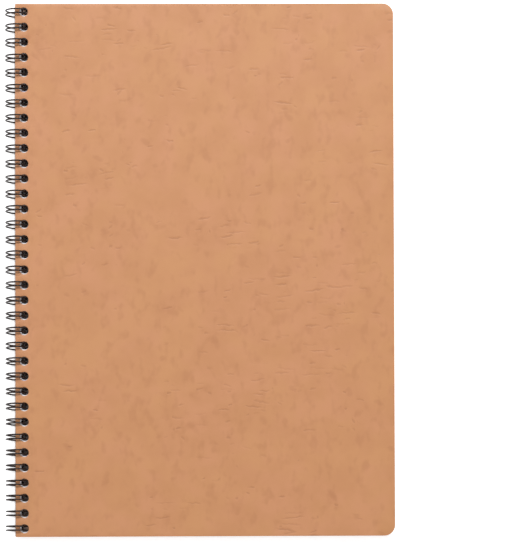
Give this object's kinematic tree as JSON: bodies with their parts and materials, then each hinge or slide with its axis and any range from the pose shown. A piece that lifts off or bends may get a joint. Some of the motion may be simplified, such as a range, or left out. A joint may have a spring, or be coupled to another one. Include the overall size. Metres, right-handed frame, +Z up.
{
  "type": "wire-bound notebook",
  "caption": "A4 wire-bound notebook: tan pressboard covers and ruled leaves that turn one by one on a black twin-loop wire.",
  "frame": {"origin": "middle of the underside of the closed book, on the surface that its loops rest on", "axes": "+X from the spine to the fore edge, +Y from the foot to the head of the page, +Z up through the front cover"},
  "size_m": [0.2164, 0.297, 0.0121],
  "materials": {
    "cover_board": "satin, soft leather-look grain",
    "wire": "black nylon-coated steel, semi-gloss",
    "paper": "uncoated ruled writing paper"
  },
  "bodies": {
    "back_cover": {"back_cover": "cover_board", "wire_binding": "wire"},
    "sheet_50": {"sheet_50": "paper"},
    "sheet_49": {"sheet_49": "paper"},
    "sheet_48": {"sheet_48": "paper"},
    "sheet_47": {"sheet_47": "paper"},
    "sheet_46": {"sheet_46": "paper"},
    "sheet_45": {"sheet_45": "paper"},
    "sheet_44": {"sheet_44": "paper"},
    "sheet_43": {"sheet_43": "paper"},
    "sheet_42": {"sheet_42": "paper"},
    "sheet_41": {"sheet_41": "paper"},
    "sheet_40": {"sheet_40": "paper"},
    "sheet_39": {"sheet_39": "paper"},
    "sheet_38": {"sheet_38": "paper"},
    "sheet_37": {"sheet_37": "paper"},
    "sheet_36": {"sheet_36": "paper"},
    "sheet_35": {"sheet_35": "paper"},
    "sheet_34": {"sheet_34": "paper"},
    "sheet_33": {"sheet_33": "paper"},
    "sheet_32": {"sheet_32": "paper"},
    "sheet_31": {"sheet_31": "paper"},
    "sheet_30": {"sheet_30": "paper"},
    "sheet_29": {"sheet_29": "paper"},
    "sheet_28": {"sheet_28": "paper"},
    "sheet_27": {"sheet_27": "paper"},
    "sheet_26": {"sheet_26": "paper"},
    "sheet_25": {"sheet_25": "paper"},
    "sheet_24": {"sheet_24": "paper"},
    "sheet_23": {"sheet_23": "paper"},
    "sheet_22": {"sheet_22": "paper"},
    "sheet_21": {"sheet_21": "paper"},
    "sheet_20": {"sheet_20": "paper"},
    "sheet_19": {"sheet_19": "paper"},
    "sheet_18": {"sheet_18": "paper"},
    "sheet_17": {"sheet_17": "paper"},
    "sheet_16": {"sheet_16": "paper"},
    "sheet_15": {"sheet_15": "paper"},
    "sheet_14": {"sheet_14": "paper"},
    "sheet_13": {"sheet_13": "paper"},
    "sheet_12": {"sheet_12": "paper"},
    "sheet_11": {"sheet_11": "paper"},
    "sheet_10": {"sheet_10": "paper"},
    "sheet_09": {"sheet_09": "paper"},
    "sheet_08": {"sheet_08": "paper"},
    "sheet_07": {"sheet_07": "paper"},
    "sheet_06": {"sheet_06": "paper"},
    "sheet_05": {"sheet_05": "paper"},
    "sheet_04": {"sheet_04": "paper"},
    "sheet_03": {"sheet_03": "paper"},
    "sheet_02": {"sheet_02": "paper"},
    "sheet_01": {"sheet_01": "paper"},
    "front_cover": {"front_cover": "cover_board"}
  },
  "joints": [
    {"name": "front_cover_turn", "type": "hinge", "parent": "sheet_01", "child": "front_cover", "pos_m": [-0.10283, 0, 0.00604], "axis": [0, -1, 0], "range_deg": [0, 180]},
    {"name": "sheet_01_turn", "type": "hinge", "parent": "sheet_02", "child": "sheet_01", "pos_m": [-0.10283, 0, 0.00604], "axis": [0, -1, 0], "range_deg": [0, 180]},
    {"name": "sheet_02_turn", "type": "hinge", "parent": "sheet_03", "child": "sheet_02", "pos_m": [-0.10283, 0, 0.00604], "axis": [0, -1, 0], "range_deg": [0, 180]},
    {"name": "sheet_03_turn", "type": "hinge", "parent": "sheet_04", "child": "sheet_03", "pos_m": [-0.10283, 0, 0.00604], "axis": [0, -1, 0], "range_deg": [0, 180]},
    {"name": "sheet_04_turn", "type": "hinge", "parent": "sheet_05", "child": "sheet_04", "pos_m": [-0.10283, 0, 0.00604], "axis": [0, -1, 0], "range_deg": [0, 180]},
    {"name": "sheet_05_turn", "type": "hinge", "parent": "sheet_06", "child": "sheet_05", "pos_m": [-0.10283, 0, 0.00604], "axis": [0, -1, 0], "range_deg": [0, 180]},
    {"name": "sheet_06_turn", "type": "hinge", "parent": "sheet_07", "child": "sheet_06", "pos_m": [-0.10283, 0, 0.00604], "axis": [0, -1, 0], "range_deg": [0, 180]},
    {"name": "sheet_07_turn", "type": "hinge", "parent": "sheet_08", "child": "sheet_07", "pos_m": [-0.10283, 0, 0.00604], "axis": [0, -1, 0], "range_deg": [0, 180]},
    {"name": "sheet_08_turn", "type": "hinge", "parent": "sheet_09", "child": "sheet_08", "pos_m": [-0.10283, 0, 0.00604], "axis": [0, -1, 0], "range_deg": [0, 180]},
    {"name": "sheet_09_turn", "type": "hinge", "parent": "sheet_10", "child": "sheet_09", "pos_m": [-0.10283, 0, 0.00604], "axis": [0, -1, 0], "range_deg": [0, 180]},
    {"name": "sheet_10_turn", "type": "hinge", "parent": "sheet_11", "child": "sheet_10", "pos_m": [-0.10283, 0, 0.00604], "axis": [0, -1, 0], "range_deg": [0, 180]},
    {"name": "sheet_11_turn", "type": "hinge", "parent": "sheet_12", "child": "sheet_11", "pos_m": [-0.10283, 0, 0.00604], "axis": [0, -1, 0], "range_deg": [0, 180]},
    {"name": "sheet_12_turn", "type": "hinge", "parent": "sheet_13", "child": "sheet_12", "pos_m": [-0.10283, 0, 0.00604], "axis": [0, -1, 0], "range_deg": [0, 180]},
    {"name": "sheet_13_turn", "type": "hinge", "parent": "sheet_14", "child": "sheet_13", "pos_m": [-0.10283, 0, 0.00604], "axis": [0, -1, 0], "range_deg": [0, 180]},
    {"name": "sheet_14_turn", "type": "hinge", "parent": "sheet_15", "child": "sheet_14", "pos_m": [-0.10283, 0, 0.00604], "axis": [0, -1, 0], "range_deg": [0, 180]},
    {"name": "sheet_15_turn", "type": "hinge", "parent": "sheet_16", "child": "sheet_15", "pos_m": [-0.10283, 0, 0.00604], "axis": [0, -1, 0], "range_deg": [0, 180]},
    {"name": "sheet_16_turn", "type": "hinge", "parent": "sheet_17", "child": "sheet_16", "pos_m": [-0.10283, 0, 0.00604], "axis": [0, -1, 0], "range_deg": [0, 180]},
    {"name": "sheet_17_turn", "type": "hinge", "parent": "sheet_18", "child": "sheet_17", "pos_m": [-0.10283, 0, 0.00604], "axis": [0, -1, 0], "range_deg": [0, 180]},
    {"name": "sheet_18_turn", "type": "hinge", "parent": "sheet_19", "child": "sheet_18", "pos_m": [-0.10283, 0, 0.00604], "axis": [0, -1, 0], "range_deg": [0, 180]},
    {"name": "sheet_19_turn", "type": "hinge", "parent": "sheet_20", "child": "sheet_19", "pos_m": [-0.10283, 0, 0.00604], "axis": [0, -1, 0], "range_deg": [0, 180]},
    {"name": "sheet_20_turn", "type": "hinge", "parent": "sheet_21", "child": "sheet_20", "pos_m": [-0.10283, 0, 0.00604], "axis": [0, -1, 0], "range_deg": [0, 180]},
    {"name": "sheet_21_turn", "type": "hinge", "parent": "sheet_22", "child": "sheet_21", "pos_m": [-0.10283, 0, 0.00604], "axis": [0, -1, 0], "range_deg": [0, 180]},
    {"name": "sheet_22_turn", "type": "hinge", "parent": "sheet_23", "child": "sheet_22", "pos_m": [-0.10283, 0, 0.00604], "axis": [0, -1, 0], "range_deg": [0, 180]},
    {"name": "sheet_23_turn", "type": "hinge", "parent": "sheet_24", "child": "sheet_23", "pos_m": [-0.10283, 0, 0.00604], "axis": [0, -1, 0], "range_deg": [0, 180]},
    {"name": "sheet_24_turn", "type": "hinge", "parent": "sheet_25", "child": "sheet_24", "pos_m": [-0.10283, 0, 0.00604], "axis": [0, -1, 0], "range_deg": [0, 180]},
    {"name": "sheet_25_turn", "type": "hinge", "parent": "sheet_26", "child": "sheet_25", "pos_m": [-0.10283, 0, 0.00604], "axis": [0, -1, 0], "range_deg": [0, 180]},
    {"name": "sheet_26_turn", "type": "hinge", "parent": "sheet_27", "child": "sheet_26", "pos_m": [-0.10283, 0, 0.00604], "axis": [0, -1, 0], "range_deg": [0, 180]},
    {"name": "sheet_27_turn", "type": "hinge", "parent": "sheet_28", "child": "sheet_27", "pos_m": [-0.10283, 0, 0.00604], "axis": [0, -1, 0], "range_deg": [0, 180]},
    {"name": "sheet_28_turn", "type": "hinge", "parent": "sheet_29", "child": "sheet_28", "pos_m": [-0.10283, 0, 0.00604], "axis": [0, -1, 0], "range_deg": [0, 180]},
    {"name": "sheet_29_turn", "type": "hinge", "parent": "sheet_30", "child": "sheet_29", "pos_m": [-0.10283, 0, 0.00604], "axis": [0, -1, 0], "range_deg": [0, 180]},
    {"name": "sheet_30_turn", "type": "hinge", "parent": "sheet_31", "child": "sheet_30", "pos_m": [-0.10283, 0, 0.00604], "axis": [0, -1, 0], "range_deg": [0, 180]},
    {"name": "sheet_31_turn", "type": "hinge", "parent": "sheet_32", "child": "sheet_31", "pos_m": [-0.10283, 0, 0.00604], "axis": [0, -1, 0], "range_deg": [0, 180]},
    {"name": "sheet_32_turn", "type": "hinge", "parent": "sheet_33", "child": "sheet_32", "pos_m": [-0.10283, 0, 0.00604], "axis": [0, -1, 0], "range_deg": [0, 180]},
    {"name": "sheet_33_turn", "type": "hinge", "parent": "sheet_34", "child": "sheet_33", "pos_m": [-0.10283, 0, 0.00604], "axis": [0, -1, 0], "range_deg": [0, 180]},
    {"name": "sheet_34_turn", "type": "hinge", "parent": "sheet_35", "child": "sheet_34", "pos_m": [-0.10283, 0, 0.00604], "axis": [0, -1, 0], "range_deg": [0, 180]},
    {"name": "sheet_35_turn", "type": "hinge", "parent": "sheet_36", "child": "sheet_35", "pos_m": [-0.10283, 0, 0.00604], "axis": [0, -1, 0], "range_deg": [0, 180]},
    {"name": "sheet_36_turn", "type": "hinge", "parent": "sheet_37", "child": "sheet_36", "pos_m": [-0.10283, 0, 0.00604], "axis": [0, -1, 0], "range_deg": [0, 180]},
    {"name": "sheet_37_turn", "type": "hinge", "parent": "sheet_38", "child": "sheet_37", "pos_m": [-0.10283, 0, 0.00604], "axis": [0, -1, 0], "range_deg": [0, 180]},
    {"name": "sheet_38_turn", "type": "hinge", "parent": "sheet_39", "child": "sheet_38", "pos_m": [-0.10283, 0, 0.00604], "axis": [0, -1, 0], "range_deg": [0, 180]},
    {"name": "sheet_39_turn", "type": "hinge", "parent": "sheet_40", "child": "sheet_39", "pos_m": [-0.10283, 0, 0.00604], "axis": [0, -1, 0], "range_deg": [0, 180]},
    {"name": "sheet_40_turn", "type": "hinge", "parent": "sheet_41", "child": "sheet_40", "pos_m": [-0.10283, 0, 0.00604], "axis": [0, -1, 0], "range_deg": [0, 180]},
    {"name": "sheet_41_turn", "type": "hinge", "parent": "sheet_42", "child": "sheet_41", "pos_m": [-0.10283, 0, 0.00604], "axis": [0, -1, 0], "range_deg": [0, 180]},
    {"name": "sheet_42_turn", "type": "hinge", "parent": "sheet_43", "child": "sheet_42", "pos_m": [-0.10283, 0, 0.00604], "axis": [0, -1, 0], "range_deg": [0, 180]},
    {"name": "sheet_43_turn", "type": "hinge", "parent": "sheet_44", "child": "sheet_43", "pos_m": [-0.10283, 0, 0.00604], "axis": [0, -1, 0], "range_deg": [0, 180]},
    {"name": "sheet_44_turn", "type": "hinge", "parent": "sheet_45", "child": "sheet_44", "pos_m": [-0.10283, 0, 0.00604], "axis": [0, -1, 0], "range_deg": [0, 180]},
    {"name": "sheet_45_turn", "type": "hinge", "parent": "sheet_46", "child": "sheet_45", "pos_m": [-0.10283, 0, 0.00604], "axis": [0, -1, 0], "range_deg": [0, 180]},
    {"name": "sheet_46_turn", "type": "hinge", "parent": "sheet_47", "child": "sheet_46", "pos_m": [-0.10283, 0, 0.00604], "axis": [0, -1, 0], "range_deg": [0, 180]},
    {"name": "sheet_47_turn", "type": "hinge", "parent": "sheet_48", "child": "sheet_47", "pos_m": [-0.10283, 0, 0.00604], "axis": [0, -1, 0], "range_deg": [0, 180]},
    {"name": "sheet_48_turn", "type": "hinge", "parent": "sheet_49", "child": "sheet_48", "pos_m": [-0.10283, 0, 0.00604], "axis": [0, -1, 0], "range_deg": [0, 180]},
    {"name": "sheet_49_turn", "type": "hinge", "parent": "sheet_50", "child": "sheet_49", "pos_m": [-0.10283, 0, 0.00604], "axis": [0, -1, 0], "range_deg": [0, 180]},
    {"name": "sheet_50_turn", "type": "hinge", "parent": "back_cover", "child": "sheet_50", "pos_m": [-0.10283, 0, 0.00604], "axis": [0, -1, 0], "range_deg": [0, 180]}
  ]
}
